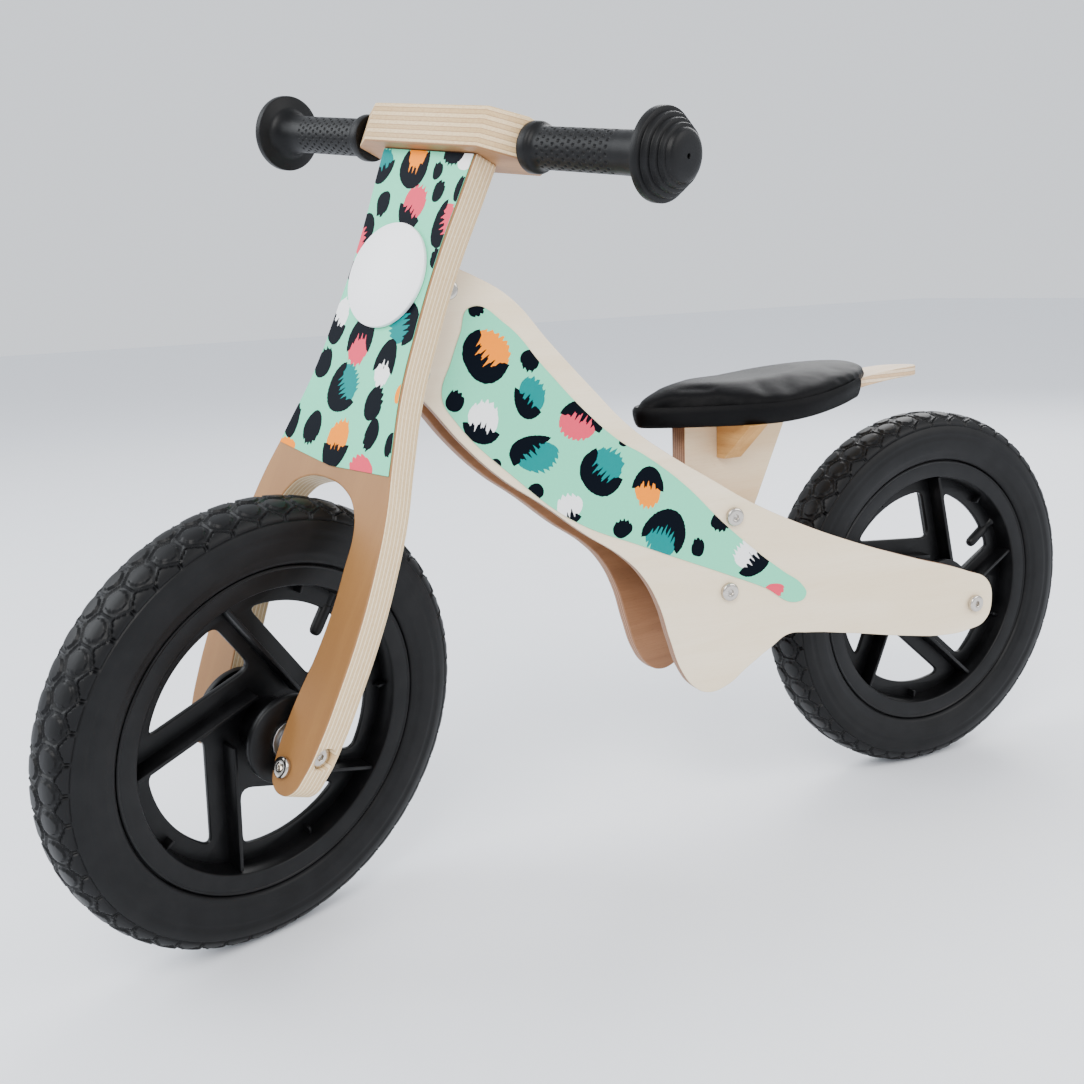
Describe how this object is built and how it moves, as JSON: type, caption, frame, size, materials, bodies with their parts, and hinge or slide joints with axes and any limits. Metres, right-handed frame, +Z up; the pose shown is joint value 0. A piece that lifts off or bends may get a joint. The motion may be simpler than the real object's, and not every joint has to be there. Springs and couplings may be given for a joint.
{
  "type": "balance bike",
  "caption": "Wooden pedal-free balance bike: one-piece forked steering board, V-set ply side panels, bent-ply seat with black pear-shaped pad, five-spoke wheels.",
  "frame": {"origin": "middle of the bike's footprint box, on the ground, with the front wheel steered 20 degrees to the rider's left as stored", "axes": "+X forward, +Y to the rider's left, +Z up"},
  "size_m": [0.8792, 0.377, 0.569],
  "materials": {
    "birch_ply": "satin clear lacquer",
    "tan_ply": "satin clear lacquer over a tan face veneer",
    "pine": "planed",
    "nickel_steel": "bright nickel plate",
    "zinc_steel": "zinc plate",
    "black_plastic": "satin moulded",
    "tyre_rubber": "moulded tread, satin sidewall",
    "tube_rubber": "matte",
    "grip_rubber": "matte, dimpled",
    "saddle_leatherette": "smooth, soft sheen",
    "printed_film": "satin printed vinyl, mint ground with round navy, teal, orange, pink and white spots",
    "white_plastic": "satin",
    "nylon": "natural"
  },
  "bodies": {
    "frame": {"left_side_panel": "birch_ply", "right_side_panel": "birch_ply", "head_block": "birch_ply", "seat_post": "birch_ply", "seat_plank": "birch_ply", "left_seat_gusset": "pine", "right_seat_gusset": "pine", "upper_cross_spacer": "pine", "lower_cross_spacer": "pine", "left_upper_head_bolt": "nickel_steel", "left_lower_head_bolt": "nickel_steel", "right_upper_head_bolt": "nickel_steel", "right_lower_head_bolt": "nickel_steel", "left_upper_seat_post_bolt": "nickel_steel", "left_lower_seat_post_bolt": "nickel_steel", "right_upper_seat_post_bolt": "nickel_steel", "right_lower_seat_post_bolt": "nickel_steel", "left_rear_axle_bolt": "nickel_steel", "right_rear_axle_bolt": "nickel_steel", "rear_axle": "zinc_steel", "left_rear_axle_sleeve": "zinc_steel", "right_rear_axle_sleeve": "zinc_steel", "front_seat_screw": "zinc_steel", "rear_seat_screw": "zinc_steel", "saddle_cushion": "saddle_leatherette", "left_side_sticker": "printed_film", "right_side_sticker": "printed_film"},
    "fork": {"fork_board": "tan_ply", "handlebar_block": "tan_ply", "handlebar_bar": "pine", "left_grip": "grip_rubber", "right_grip": "grip_rubber", "fork_sticker": "printed_film", "name_badge": "white_plastic", "handlebar_screw": "zinc_steel", "upper_bracket_screw": "zinc_steel", "lower_bracket_screw": "zinc_steel", "upper_steering_bracket": "zinc_steel", "lower_steering_bracket": "zinc_steel", "steering_rod": "zinc_steel", "steering_nut": "zinc_steel", "upper_steering_washer": "nylon", "lower_steering_washer": "nylon", "front_axle": "zinc_steel", "left_front_axle_bolt": "nickel_steel", "right_front_axle_bolt": "nickel_steel", "left_front_axle_washer": "nylon", "right_front_axle_washer": "nylon", "left_fork_leg_bolt": "nickel_steel", "right_fork_leg_bolt": "nickel_steel"},
    "front_wheel": {"front_rim": "black_plastic", "front_tyre": "tyre_rubber", "front_inner_tube": "tube_rubber", "left_front_bearing": "zinc_steel", "right_front_bearing": "zinc_steel"},
    "rear_wheel": {"rear_rim": "black_plastic", "rear_tyre": "tyre_rubber", "rear_inner_tube": "tube_rubber", "left_rear_bearing": "zinc_steel", "right_rear_bearing": "zinc_steel"}
  },
  "joints": [
    {"name": "steering", "type": "hinge", "parent": "frame", "child": "fork", "pos_m": [0.27029, -0.00752, 0.14271], "axis": [-0.3843, 0, 0.9232], "range_deg": [-55, 15]},
    {"name": "front_wheel_spin", "type": "hinge", "parent": "fork", "child": "front_wheel", "pos_m": [0.29285, 0.00137, 0.1521], "axis": [-0.3158, 0.9397, -0.1314], "continuous": true},
    {"name": "rear_wheel_spin", "type": "hinge", "parent": "frame", "child": "rear_wheel", "pos_m": [-0.28771, -0.00752, 0.1527], "axis": [0, 1, 0], "continuous": true}
  ]
}
